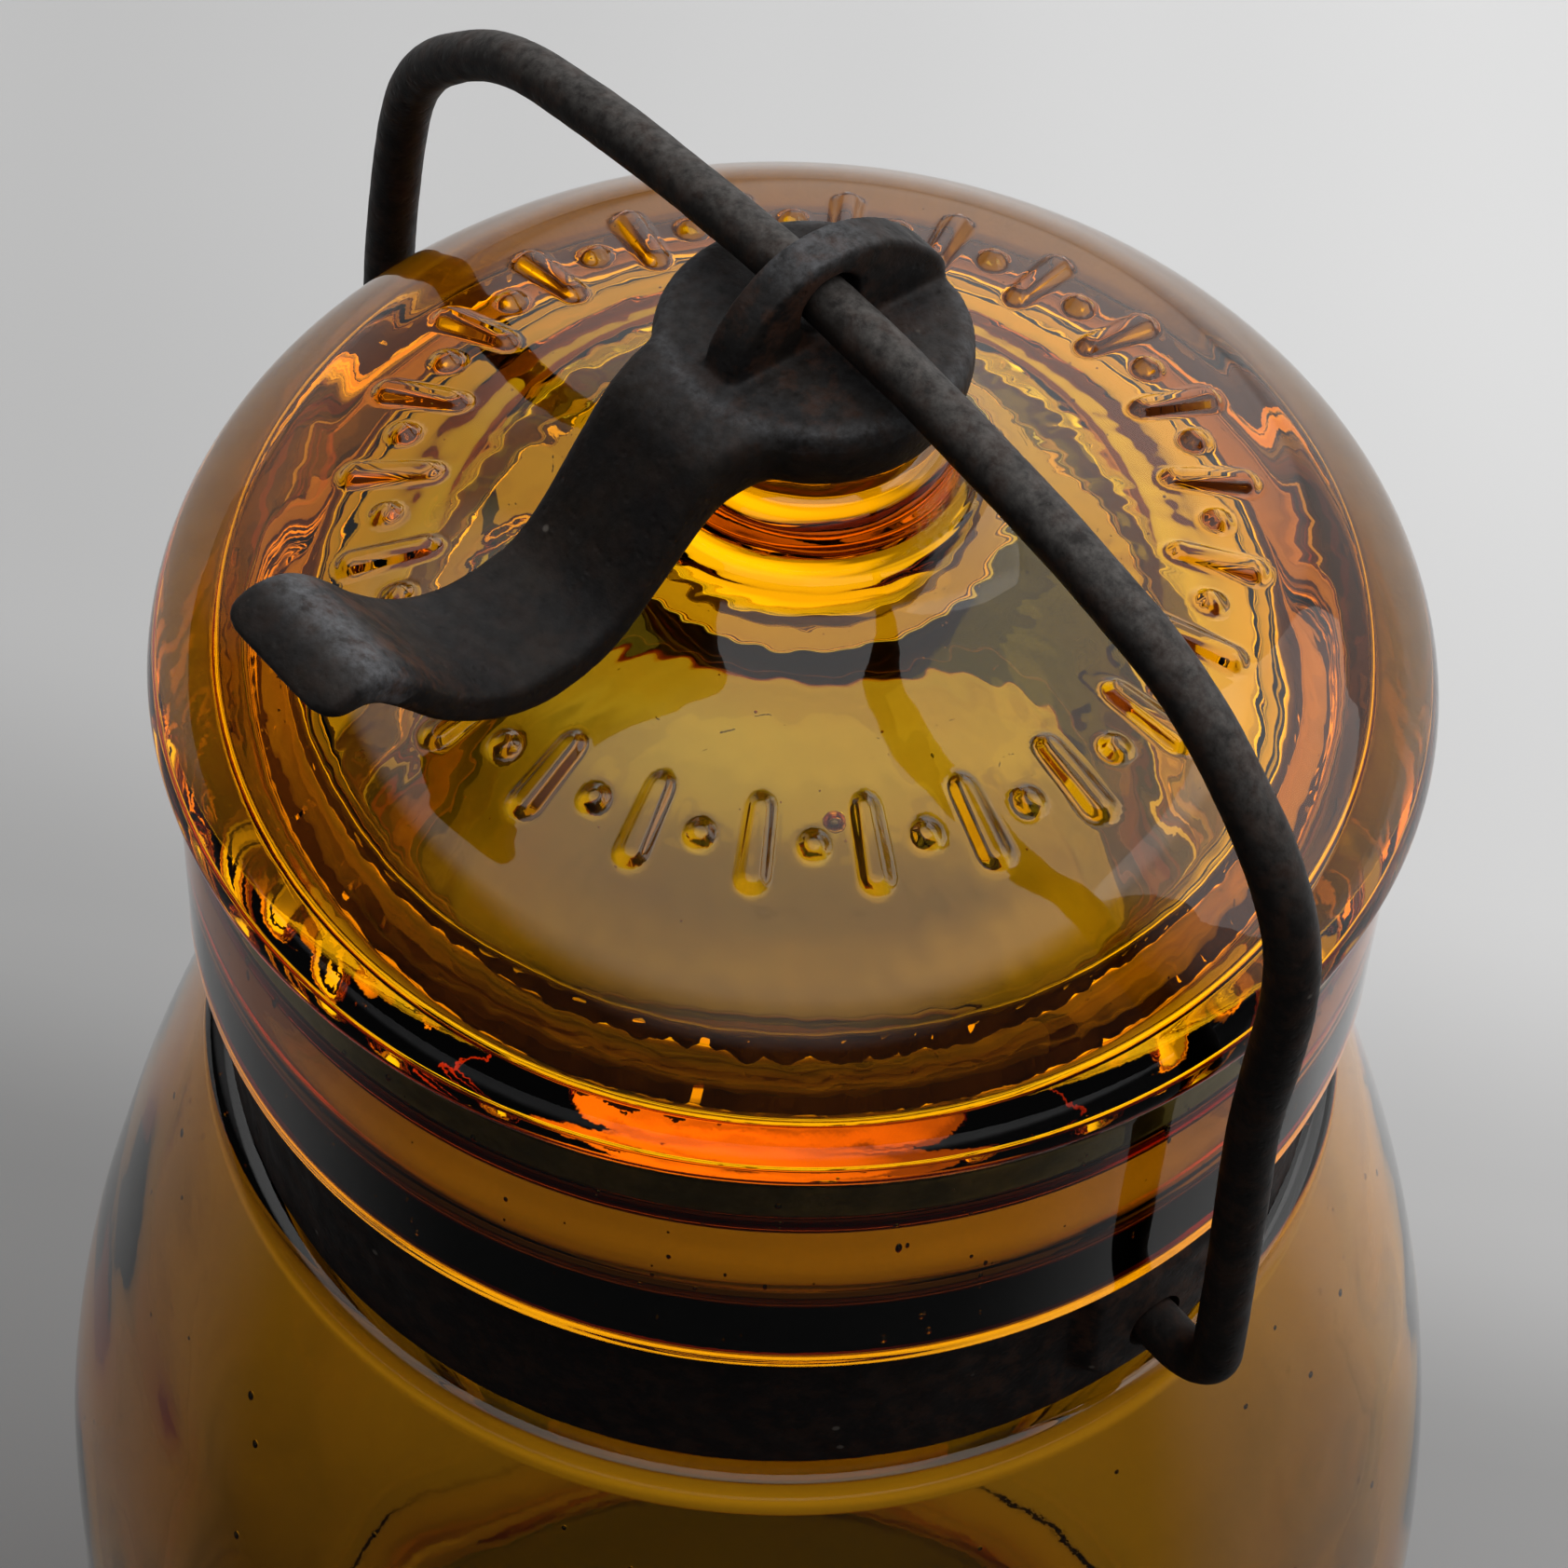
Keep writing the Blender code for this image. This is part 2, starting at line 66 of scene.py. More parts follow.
# The photograph's view, floor and light. Headings are directions in the shared frame.
CAMERA_LENS = 117.65
CAMERA_PLACE = (
    (0.62564, -0.62586, 0.46570, 0.15104),
    (0.77923, 0.47294, -0.41126, -0.13363),
    (0.03715, 0.62019, 0.78357, 0.41349),
    (0, 0, 0, 1),
)
AWAY = (-0.627, 0.780, 0.0)
RIGHT = (0.626, 0.779, 0.0)
FRONT = (0.749, -0.663)
FLOOR_HALF = 4.0
# Painted shade and falloff of light on the floor: its colour goes darker towards the camera and to the
# left
FLOOR_SHADE_AWAY = [
    (-1.0, 0.6), (-0.6, 0.05), (-0.10, 0.05), (0.0, 0.33), (0.06, 0.43), (0.09, 0.66), (0.13, 0.88),
    (0.22, 0.96), (0.4, 1.0),
]
FLOOR_SHADE_ACROSS = [
    (-0.2, 0.52), (-0.08, 0.60), (-0.03, 0.66), (0.01, 0.72), (0.05, 0.78), (0.09, 0.83), (0.2, 0.88),
]
CEILING = [(-1.0, 0.02), (0.66, 0.03), (0.77, 1.0), (1.0, 1.0)]
CEILING_SIDES = [(-1.0, 0.85), (0.0, 1.25), (1.0, 1.5)]
WALLS = [
    ((0.0, 0.970, 0.243), [(-1.0, 0.0), (0.45, 0.0), (0.65, 0.60), (1.0, 0.70)]),
    ((-0.486, 0.729, 0.482), [(-1.0, 0.0), (0.80, 0.0), (0.93, 1.3), (1.0, 1.8)]),
    ((-0.890, 0.170, 0.422), [(-1.0, 0.0), (0.78, 0.0), (0.92, 0.40), (1.0, 0.42)]),
]
LAMP_AT = Vector((0.55, 1.05, 0.95))
LAMP_AIM = Vector((0, 0, 0.15))
LAMP_SIZE = 1.2
LAMP_WATTS = 4.5

# Glass: the colour that gets through, and how strongly the rest is taken away
JAR_TINT, JAR_DENSITY = (0.940, 0.795, 0.02), 640
LID_TINT, LID_DENSITY = (0.985, 0.872, 0.02), 300
GLASS_IOR = 1.52

# Iron: the colours of its dark skin, brown patches, and rubbed places that also carry painted sheen,
# and its roughness
STRAP_LOOK = (0.006, 0.0042, 0.0042), (0.010, 0.006, 0.005), (0.05, 0.04, 0.035), 0.65
RIVET_LOOK = (0.008, 0.006, 0.005), (0.018, 0.011, 0.008), (0.09, 0.08, 0.075), 0.6
WIRE_LOOK = (0.006, 0.0045, 0.004), (0.014, 0.010, 0.008), (0.13, 0.12, 0.112), 0.55
CAST_LOOK = (0.007, 0.0055, 0.005), (0.018, 0.012, 0.008), (0.13, 0.132, 0.14), 0.58
RUST = (0.055, 0.022, 0.011)
SPECK = (0.16, 0.14, 0.12)

# Old rubber, and the dark brown of the painted shade on its front side
RUBBER_DARK, RUBBER_PALE = (0.32, 0.25, 0.16), (0.48, 0.39, 0.27)
SHADE_COLOUR = (0.05, 0.036, 0.02)


# Shape helpers


def between(s, start, end, near, far):
    """The value at s on a straight line that is near at the start and far at the end."""
    return (end - s) / (end - start) * near + (s - start) / (end - start) * far


def smooth_line(points, spacing):
    """A centripetal Catmull-Rom curve through the points, sampled at about the spacing."""
    points = np.array(points, float)
    ends = np.vstack([2 * points[0] - points[1], points, 2 * points[-1] - points[-2]])
    out = []
    for i in range(len(points) - 1):
        p = ends[i:i + 4]
        steps = np.sqrt(np.linalg.norm(np.diff(p, axis=0), axis=1))
        t = np.concatenate([[0.0], np.cumsum(steps)])
        count = max(1, int(round(np.linalg.norm(p[2] - p[1]) / spacing)))
        s = np.linspace(t[1], t[2], count, endpoint=False)[:, None]
        a = [between(s, t[k], t[k + 1], p[k], p[k + 1]) for k in range(3)]
        b = [between(s, t[k], t[k + 2], a[k], a[k + 1]) for k in range(2)]
        out.append(between(s, t[1], t[2], b[0], b[1]))
    out.append(points[-1:])
    return np.vstack(out)


def arc(centre, radius, start, end, count):
    """Points round a centre, from one angle to another in degrees."""
    angles = np.radians(np.linspace(start, end, count + 1))
    return np.column_stack([centre[0] + radius * np.cos(angles), centre[1] + radius * np.sin(angles)])


def ease(share):
    """Rounds off both ends of a rise from 0 to 1."""
    return share * share * (3 - 2 * share)


def waves(points, wavelength, seed, count=14):
    """Smooth noise of about unit size: a sum of plane waves of random heading and phase."""
    rng = np.random.RandomState(seed)
    total = np.zeros(len(points))
    for _ in range(count):
        heading = rng.normal(size=3)
        heading /= np.linalg.norm(heading)
        number = TURN / (wavelength * rng.uniform(0.7, 1.6))
        total += np.sin(points @ heading * number + rng.uniform(0, TURN))
    return total / math.sqrt(count / 2)


def shade_smooth(mesh, sharp=None):
    """Shades the mesh smooth, apart from edges that turn by more than the sharp angle in degrees."""
    mesh.polygons.foreach_set("use_smooth", [True] * len(mesh.polygons))
    if sharp:
        mesh.set_sharp_from_angle(angle=math.radians(sharp))


def face_outward(mesh, weld=None):
    """Turns the front of every face to the outside, and welds points that are nearer than weld."""
    shape = bmesh.new()
    shape.from_mesh(mesh)
    if weld:
        bmesh.ops.remove_doubles(shape, verts=shape.verts, dist=weld)
    bmesh.ops.recalc_face_normals(shape, faces=shape.faces)
    shape.to_mesh(mesh)
    shape.free()


def make_mesh(name, points, faces):
    mesh = bpy.data.meshes.new(name)
    mesh.from_pydata((np.asarray(points) * MM).tolist(), [], faces)
    mesh.validate()
    obj = bpy.data.objects.new(name, mesh)
    bpy.context.scene.collection.objects.link(obj)
    shade_smooth(mesh)
    return obj


def turned(name, outline, columns, closed=False, push=None, sharp=None):
    """Turns an outline of (radius, height) about Z.

    push gives each point's offset along the outline's normal, from the points, their radius, their
    angle and their row in the outline.
    """
    outline = np.asarray(outline, float)
    if closed:
        course = np.roll(outline, -1, 0) - np.roll(outline, 1, 0)
    else:
        course = np.gradient(outline, axis=0)
    normal = np.column_stack([-course[:, 1], course[:, 0]])
    normal /= np.maximum(np.linalg.norm(normal, axis=1), 1e-9)[:, None]
    theta = np.arange(columns) * TURN / columns
    cos, sin = np.cos(theta), np.sin(theta)
    r, z = outline[:, :1], outline[:, 1:]
    grid = np.stack([r * cos, r * sin, z + 0 * cos], 2)
    if push is not None:
        size = (len(outline), columns)
        outward = np.stack([normal[:, :1] * cos, normal[:, :1] * sin, normal[:, 1:] + 0 * cos], 2)
        shift = push(
            grid.reshape(-1, 3), np.broadcast_to(r, size).ravel(), np.broadcast_to(theta, size).ravel(),
            np.repeat(np.arange(len(outline)), columns))
        grid = grid + outward * shift.reshape(*size, 1)
    points, ids = [], []
    for row in range(len(outline)):
        if outline[row, 0] < 1e-6:
            ids.append([len(points)] * columns)
            points.append((0.0, 0.0, grid[row, :, 2].mean()))
        else:
            ids.append(list(range(len(points), len(points) + columns)))
            points.extend(grid[row].tolist())
    faces = []
    for row in range(len(outline) if closed else len(outline) - 1):
        a, b = ids[row], ids[(row + 1) % len(outline)]
        for i in range(columns):
            j = (i + 1) % columns
            if a[0] == a[-1]:
                faces.append((a[i], b[i], b[j]))
            elif b[0] == b[-1]:
                faces.append((a[i], b[i], a[j]))
            else:
                faces.append((a[i], b[i], b[j], a[j]))
    obj = make_mesh(name, points, faces)
    face_outward(obj.data)
    shade_smooth(obj.data, sharp)
    return obj


def tube_faces(rows, sides):
    """The faces between rows of points, and one across each end."""
    faces = []
    for k in range(rows - 1):
        for i in range(sides):
            j = (i + 1) % sides
            faces.append((k * sides + i, k * sides + j, (k + 1) * sides + j, (k + 1) * sides + i))
    last = (rows - 1) * sides
    return faces + [tuple(range(sides))[::-1], tuple(range(last, last + sides))]


def apply_modifiers(obj):
    """Keeps what the modifiers make of the mesh, with its sharp edges marked again."""
    graph = bpy.context.evaluated_depsgraph_get()
    graph.update()
    made = bpy.data.meshes.new_from_object(obj.evaluated_get(graph))
    obj.modifiers.clear()
    old = obj.data
    obj.data = made
    bpy.data.meshes.remove(old)
    shade_smooth(obj.data, sharp=40)


def cut_away(obj, name, tool):
    """Cuts the tool's shape out of the object."""
    step = obj.modifiers.new(name, "BOOLEAN")
    step.operation = "DIFFERENCE"
    step.solver = "EXACT"
    step.object = tool
    apply_modifiers(obj)


def rate(obj, name, function):
    """Stores a value from 0 to 1 at each point, for the material to read."""
    count = len(obj.data.vertices)
    points, normals = np.zeros(count * 3), np.zeros(count * 3)
    obj.data.vertices.foreach_get("co", points)
    obj.data.vertex_normals.foreach_get("vector", normals)
    values = function(points.reshape(-1, 3) / MM, normals.reshape(-1, 3)[:, 2])
    layer = obj.data.attributes.new(name, "FLOAT", "POINT")
    layer.data.foreach_set("value", np.clip(values, 0, 1))


def dent(obj, size, depth, seed):
    """Roughens the mesh itself: lumps and pits of about the size, to the depth, in millimetres."""
    mesh = obj.data
    count = len(mesh.vertices)
    points = np.zeros(count * 3)
    normals = np.zeros(count * 3)
    mesh.vertices.foreach_get("co", points)
    mesh.vertices.foreach_get("normal", normals)
    points, normals = points.reshape(-1, 3), normals.reshape(-1, 3)
    offset = Vector((seed * 7.3, seed * 3.1, seed * 5.7))
    lumps = np.array([noise.noise(Vector(p) / (size * MM) + offset) for p in points])
    fine = np.array([noise.noise(Vector(p) / (size * 0.4 * MM) + offset) for p in points])
    pits = -np.clip(np.abs(fine) - 0.35, 0, 1) * 1.5
    points += normals * ((lumps * 0.6 + fine * 0.3 + pits) * depth * MM)[:, None]
    mesh.vertices.foreach_set("co", points.ravel())
    mesh.update()


# Materials


def blend(tree, how, a, b):
    """Two colours blended in full, in one of the mix node's ways."""
    node = tree.nodes.new("ShaderNodeMix")
    node.data_type = "RGBA"
    node.blend_type = how
    node.inputs[0].default_value = 1.0
    tree.links.new(a, node.inputs[6])
    tree.links.new(b, node.inputs[7])
    return node.outputs[2]


def along(tree, source, heading, stops, low, high):
    """A grey that changes along a heading. Each stop is (distance, value), from low to high."""
    dot = tree.nodes.new("ShaderNodeVectorMath")
    dot.operation = "DOT_PRODUCT"
    dot.inputs[1].default_value = heading
    tree.links.new(source, dot.inputs[0])
    span = tree.nodes.new("ShaderNodeMapRange")
    span.inputs["From Min"].default_value = low
    span.inputs["From Max"].default_value = high
    tree.links.new(dot.outputs["Value"], span.inputs["Value"])
    node = tree.nodes.new("ShaderNodeValToRGB")
    node.color_ramp.interpolation = "EASE"
    while len(node.color_ramp.elements) < len(stops):
        node.color_ramp.elements.new(0.5)
    for element, (distance, value) in zip(node.color_ramp.elements, stops):
        element.position = (distance - low) / (high - low)
        element.color = (value, value, value, 1.0)
    tree.links.new(span.outputs["Result"], node.inputs["Fac"])
    return node.outputs["Color"]


class Shader:
    """A Principled material with short ways to add the nodes that vary it over the surface."""

    def __init__(self, name, **values):
        self.material = bpy.data.materials.new(name)
        self.material.use_nodes = True
        self.tree = self.material.node_tree
        self.main = self.tree.nodes["Principled BSDF"]
        self.output = self.tree.nodes["Material Output"]
        for key, value in values.items():
            self.main.inputs[key.replace("_", " ")].default_value = value
        self.place = self.add("ShaderNodeTexCoord").outputs["Object"]

    def add(self, kind, **settings):
        node = self.tree.nodes.new(kind)
        for key, value in settings.items():
            setattr(node, key, value)
        return node

    def link(self, source, target):
        self.tree.links.new(source, target)

    def noise(self, size, detail=3.0, rough=0.55):
        """Noise whose features are about size millimetres."""
        node = self.add("ShaderNodeTexNoise")
        node.inputs["Scale"].default_value = 1 / (size * MM)
        node.inputs["Detail"].default_value = detail
        node.inputs["Roughness"].default_value = rough
        self.link(self.place, node.inputs["Vector"])
        return node.outputs["Fac"]

    def cells(self, size):
        """The outputs of a cell pattern whose cells are about size millimetres."""
        node = self.add("ShaderNodeTexVoronoi")
        node.inputs["Scale"].default_value = 1 / (size * MM)
        self.link(self.place, node.inputs["Vector"])
        return node.outputs

    def ramp(self, source, *stops):
        """A ramp of greys; each stop is (position, value)."""
        node = self.add("ShaderNodeValToRGB")
        ramp = node.color_ramp
        while len(ramp.elements) < len(stops):
            ramp.elements.new(0.5)
        for element, (position, value) in zip(ramp.elements, stops):
            element.position = position
            element.color = (value, value, value, 1.0)
        self.link(source, node.inputs["Fac"])
        return node.outputs["Color"]

    def mix(self, amount, a, b):
        """Goes from colour a to colour b by the amount. A colour is a socket or three numbers."""
        node = self.add("ShaderNodeMix", data_type="RGBA")
        for key, value in ((0, amount), (6, a), (7, b)):
            if isinstance(value, bpy.types.NodeSocket):
                self.link(value, node.inputs[key])
            else:
                node.inputs[key].default_value = (*value, 1.0)
        return node.outputs[2]

    def multiply(self, a, b):
        """The product of a socket and another socket or a number."""
        node = self.add("ShaderNodeMath", operation="MULTIPLY")
        for key, value in enumerate((a, b)):
            if isinstance(value, bpy.types.NodeSocket):
                self.link(value, node.inputs[key])
            else:
                node.inputs[key].default_value = value
        return node.outputs[0]

    def bump(self, height, depth, strength=1.0, below=None):
        """A bump of the given depth in millimetres."""
        node = self.add("ShaderNodeBump")
        node.inputs["Strength"].default_value = strength
        node.inputs["Distance"].default_value = depth * MM
        self.link(height, node.inputs["Height"])
        if below is not None:
            self.link(below, node.inputs["Normal"])
        return node.outputs["Normal"]

    def attribute(self, name):
        return self.add("ShaderNodeAttribute", attribute_name=name).outputs["Fac"]


def amber(name, tint, density):
    """Clear glass that takes its amber from its thickness, with faint waves and pits."""
    s = Shader(name, Base_Color=(1, 1, 1, 1), Roughness=0.0, IOR=GLASS_IOR, Transmission_Weight=1.0)
    absorb = s.add("ShaderNodeVolumeAbsorption")
    absorb.inputs["Color"].default_value = (*tint, 1.0)
    absorb.inputs["Density"].default_value = density
    s.link(absorb.outputs["Volume"], s.output.inputs["Volume"])
    ream = s.bump(s.noise(7.0, 2.0), 0.03, 0.5)
    s.link(s.bump(s.noise(0.7, 2.0), 0.003, 0.4, ream), s.main.inputs["Normal"])
    return s.material


def iron(name, dark, brown, worn_and_sheen, roughness, grain=0.02):
    """Old dark iron: brown patches, pits, pale specks, and rust, wear and painted sheen where the mesh
    says so.
    """
    s = Shader(name, Specular_IOR_Level=0.2)
    patches = s.ramp(s.noise(4.5, 4.0), (0.42, 0.0), (0.68, 0.85))
    mottle = s.ramp(s.noise(0.7, 4.0, 0.6), (0.3, 0.7), (0.7, 1.3))
    colour = blend(s.tree, "MULTIPLY", s.mix(patches, dark, brown), mottle)
    rust = s.multiply(s.attribute("rust"), s.ramp(s.noise(1.7, 5.0, 0.65), (0.47, 0.0), (0.60, 1.0)))
    colour = s.mix(rust, colour, RUST)
    # Paler where rubbed, and where a painted sheen lies on upper faces
    rubbed_and_sheen = s.multiply(
        s.attribute("wear_and_sheen"), s.ramp(s.noise(0.8, 6.0, 0.7), (0.36, 0.15), (0.66, 1.0)))
    colour = s.mix(rubbed_and_sheen, colour, worn_and_sheen)
    cell = s.cells(2.4)
    near = s.ramp(cell["Distance"], (0.07, 1.0), (0.12, 0.0))
    chosen = s.ramp(cell["Color"], (0.66, 0.0), (0.70, 1.0))
    colour = s.mix(s.multiply(s.multiply(near, chosen), 0.6), colour, SPECK)
    s.link(colour, s.main.inputs["Base Color"])
    s.link(s.multiply(rubbed_and_sheen, 0.5), s.main.inputs["Metallic"])
    rough = s.ramp(s.noise(1.3, 4.0), (0.3, roughness - 0.07), (0.7, roughness + 0.10))
    s.link(rough, s.main.inputs["Roughness"])
    pits = s.ramp(s.cells(0.9)["Distance"], (0.0, 0.0), (0.30, 1.0))
    lumps = s.bump(s.noise(1.8, 4.0, 0.6), 0.05)
    pitted = s.bump(pits, grain * 1.5, 1.0, lumps)
    s.link(s.bump(s.noise(0.28, 4.0, 0.65), grain, 1.0, pitted), s.main.inputs["Normal"])
    return s.material


def rubber(name):
    """Old tan rubber, darkened by painted shade where the mesh says so."""
    s = Shader(name, Specular_IOR_Level=0.3)
    colour = s.mix(s.noise(2.0, 4.0), RUBBER_DARK, RUBBER_PALE)
    # Painted shade, broken up a little by noise
    painted_shade = s.multiply(s.attribute("painted_shade"), s.ramp(s.noise(3.0, 4.0), (0.3, 0.75), (0.6, 1.0)))
    s.link(s.mix(painted_shade, colour, SHADE_COLOUR), s.main.inputs["Base Color"])
    s.link(s.ramp(s.noise(1.0, 4.0), (0.3, 0.6), (0.7, 0.85)), s.main.inputs["Roughness"])
    s.link(s.bump(s.noise(0.7, 4.0), 0.05), s.main.inputs["Normal"])
    return s.material


# Camera, floor and light


def add_camera():
    """The photograph's view, found from the circles of the lid, finish and band."""
    data = bpy.data.cameras.new("camera")
    data.sensor_width = 36.0
    data.lens = CAMERA_LENS
    data.clip_start = 0.01
    data.clip_end = 50.0
    camera = bpy.data.objects.new("camera", data)
    camera.matrix_world = Matrix(CAMERA_PLACE)
    bpy.context.scene.collection.objects.link(camera)
    bpy.context.scene.camera = camera


def add_stage():
    """A pale floor with painted shade, darker towards the camera as the table is, and a little darker
    to the left.
    """
    half = FLOOR_HALF
    mesh = bpy.data.meshes.new("floor")
    corners = [(-half, -half, 0), (half, -half, 0), (half, half, 0), (-half, half, 0)]
    mesh.from_pydata(corners, [], [(0, 1, 2, 3)])
    floor = bpy.data.objects.new("floor", mesh)
    bpy.context.scene.collection.objects.link(floor)
    s = Shader("pale_floor", Roughness=0.9, Specular_IOR_Level=0.1)
    # Painted shade: the floor's colour is multiplied darker towards the camera and to the left
    away = along(s.tree, s.place, AWAY, FLOOR_SHADE_AWAY, -1.0, 0.4)
    across = along(s.tree, s.place, RIGHT, FLOOR_SHADE_ACROSS, -0.2, 0.2)
    s.link(blend(s.tree, "MULTIPLY", away, across), s.main.inputs["Base Color"])
    mesh.materials.append(s.material)


def add_light():
    """A bright ceiling from about 45 degrees up, pale walls at the back, and dim elsewhere."""
    world = bpy.data.worlds.new("studio")
    bpy.context.scene.world = world
    world.use_nodes = True
    tree = world.node_tree
    place = tree.nodes.new("ShaderNodeTexCoord").outputs["Generated"]
    ceiling = along(tree, place, (0.0, 0.0, 1.0), CEILING, -1.0, 1.0)
    sides = along(tree, place, RIGHT, CEILING_SIDES, -1.0, 1.0)
    light = blend(tree, "MULTIPLY", ceiling, sides)
    for heading, stops in WALLS:
        light = blend(tree, "LIGHTEN", light, along(tree, place, heading, stops, -1.0, 1.0))
    tree.links.new(light, tree.nodes["Background"].inputs["Color"])

    data = bpy.data.lights.new("window", "AREA")
    data.size = LAMP_SIZE
    data.energy = LAMP_WATTS
    lamp = bpy.data.objects.new("window", data)
    lamp.location = LAMP_AT
    lamp.rotation_euler = (LAMP_AIM - LAMP_AT).to_track_quat("-Z", "Y").to_euler()
    bpy.context.scene.collection.objects.link(lamp)


# Glass lid

# (radius, height above the lid's seat), from the top of the boss out to the rim
LID_OUTER = [
    (0.0, 26.5), (4.0, 26.35), (7.0, 25.9), (8.4, 25.2), (9.0, 23.9), (9.2, 22.2), (9.5, 20.6),
    (10.3, 19.0), (11.6, 17.9), (13.3, 17.1), (17.0, 16.25), (22.0, 15.4), (25.0, 14.8), (28.0, 14.1),
    (29.8, 13.5), (31.2, 12.75), (32.6, 11.75), (34.0, 10.6), (35.5, 9.3), (37.0, 7.8), (38.2, 6.3),
    (39.0, 4.8), (39.4, 3.5), (39.45, 2.6), (38.8, 2.0),
]
# The same for the underside, back in to the middle: rim, seat, skirt and hollow
LID_UNDER = [
    [(38.8, 2.0), (37.8, 2.0), (36.8, 2.0)],
    [(36.8, 2.0), (36.5, 1.7), (36.5, 0.3), (36.2, 0.0)],
    [(36.2, 0.0), (34.0, 0.0), (31.9, 0.0)],
    [(31.9, 0.0), (31.5, -0.4), (31.4, -2.5), (31.3, -4.5), (30.9, -5.0), (29.6, -5.1), (28.5, -5.0),
     (28.2, -4.5)],
    [(28.2, -4.5), (28.1, -2.0), (28.05, 0.0), (28.0, 1.4)],
    [(28.0, 1.4), (27.5, 2.6), (25.6, 5.0), (23.0, 7.3), (20.0, 9.2), (16.0, 10.6), (10.0, 11.9),
     (4.5, 12.3), (0.0, 12.4)],
]
RELIEF_R = 24.7
RELIEF_PAIRS = 24
RELIEF_HEIGHT = 0.68
BAR_HALF_LENGTH = 2.2
BAR_HALF_WIDTH = 0.70
BEAD_R = 0.72
RELIEF_EDGE = 0.75


def lid_relief(r, theta):
    """Height of the raised ornament: a radial bar and a round bead by turns."""
    step = TURN / RELIEF_PAIRS
    off = (theta + step / 2) % step - step / 2
    out = r - RELIEF_R
    bar = np.hypot(RELIEF_R * off, np.maximum(np.abs(out) - BAR_HALF_LENGTH, 0)) - BAR_HALF_WIDTH
    off = theta % step - step / 2
    bead = np.hypot(RELIEF_R * off, out) - BEAD_R
    return RELIEF_HEIGHT * ease(np.clip(0.5 - np.minimum(bar, bead) / RELIEF_EDGE, 0, 1))


def make_lid(surface):
    top = smooth_line(LID_OUTER, 0.36)
    under = np.vstack([smooth_line(part, 0.6)[1:] for part in LID_UNDER])
    outline = np.vstack([top, under])
    outline[:, 1] += LID_LOW
    split = len(top)

    def push(points, r, theta, row):
        """The ornament and faint waves on top; a combed surface in the hollow."""
        relief = np.where(row < split - 8, lid_relief(r, theta), 0.0)
        combed = 0.035 * waves(points, 11, 4) + 0.010 * waves(points, 2.6, 5)
        combed += 0.006 * waves(points, 1.3, 6)
        combed *= np.clip((31.0 - r) / 1, 0.0, 1)
        wavy = np.where(row < split, 0.012 * waves(points, 16, 3), combed)
        fade = np.clip(r / 6, 0, 1) * np.clip((39.0 - r) / 2 + (row < split) * 0.4, 0, 1)
        return relief + wavy * fade

    lid = turned("lid_glass", outline, columns=640, push=push)
    lid.data.materials.append(surface)
    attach(lid, "lid")
    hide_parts("glass_lid")


# Glass jar

JAR_WALL = 3.6
NECK_INSIDE = [
    (31.9, 132.6), (30.5, 137.3), (30.05, 141.5), (30.0, 145.0), (30.5, 147.6), (31.7, 153.0),
    (32.2, 155.8), (32.2, 160.0), (32.2, 163.3),
]
LEDGE = [(35.0, 164.6), (36.7, 164.6), (37.0, 164.9)]
LIP_INSIDE = [(37.0, 167.0), (37.0, 169.0), (37.0, 171.2)]
FINISH = [(38.15, 170.7), (38.15, 162.0), (38.12, 152.0)]
GROOVE = [
    (36.4, 150.4), (35.2, 150.3), (34.5, 149.6), (34.5, 148.6), (34.5, 137.2), (34.9, 136.5),
    (36.0, 136.3),
]
BASE = [
    (44.2, 0.0), (38.0, 0.0), (31.0, 0.0), (28.0, 0.6), (22.0, 1.8), (10.0, 2.5), (0.0, 2.6),
]


def shoulder(z):
    """The jar's outer radius at a height below the neck band."""
    share = np.clip((SHOULDER_TOP_Z - z) / SHOULDER_DROP, 0, 1)
    return NECK_R + SHOULDER_SWELL * np.sin(math.pi / 2 * share)


def jar_outline():
    """The jar's outline from the inside's middle, up and over the lip, and down to the base's middle.

    Also gives how many of its points are the floor and wall inside.
    """
    heights = np.linspace(BODY_TOP_Z, 133.6, 34)
    floor = np.vstack([
        smooth_line([(0.0, 7.2), (12.0, 7.0), (23.0, 6.4)], 2.0), arc((40.6, 10.6), 6.0, -90, 0, 10)])
    lowered = heights - 1.3 * (heights - BODY_TOP_Z) / SHOULDER_DROP
    wall = np.column_stack([shoulder(heights) - JAR_WALL, lowered])
    neck = smooth_line([tuple(wall[-1])] + NECK_INSIDE, 0.9)[1:]
    ledge = np.vstack([arc((33.4, 163.4), 1.2, 165, 90, 5), LEDGE])
    lip = np.vstack([LIP_INSIDE, arc((37.55, 170.9), 0.6, 140, 0, 8)])
    finish = smooth_line(FINISH, 1.2)[1:]
    low = arc((37.25, 151.3), 0.9, 0, -90, 6)
    groove = smooth_line(GROOVE, 0.6)
    foot = np.array([(36.7, 136.25)])
    down = np.linspace(135.9, BODY_TOP_Z, 44)
    outer = np.column_stack([shoulder(down), down])
    straight = np.column_stack([np.full(24, BODY_R), np.linspace(79.0, 6.6, 24)])
    heel = arc((44.2, 6.0), 6.0, 0, -90, 12)
    base = smooth_line(BASE, 2.0)[1:]
    outline = np.vstack([
        floor, wall, neck, ledge, lip, finish, low, groove, foot, outer, straight, heel, base])
    outline[:, 1] = np.maximum(outline[:, 1], 0.0)
    return outline, len(floor) + len(wall)


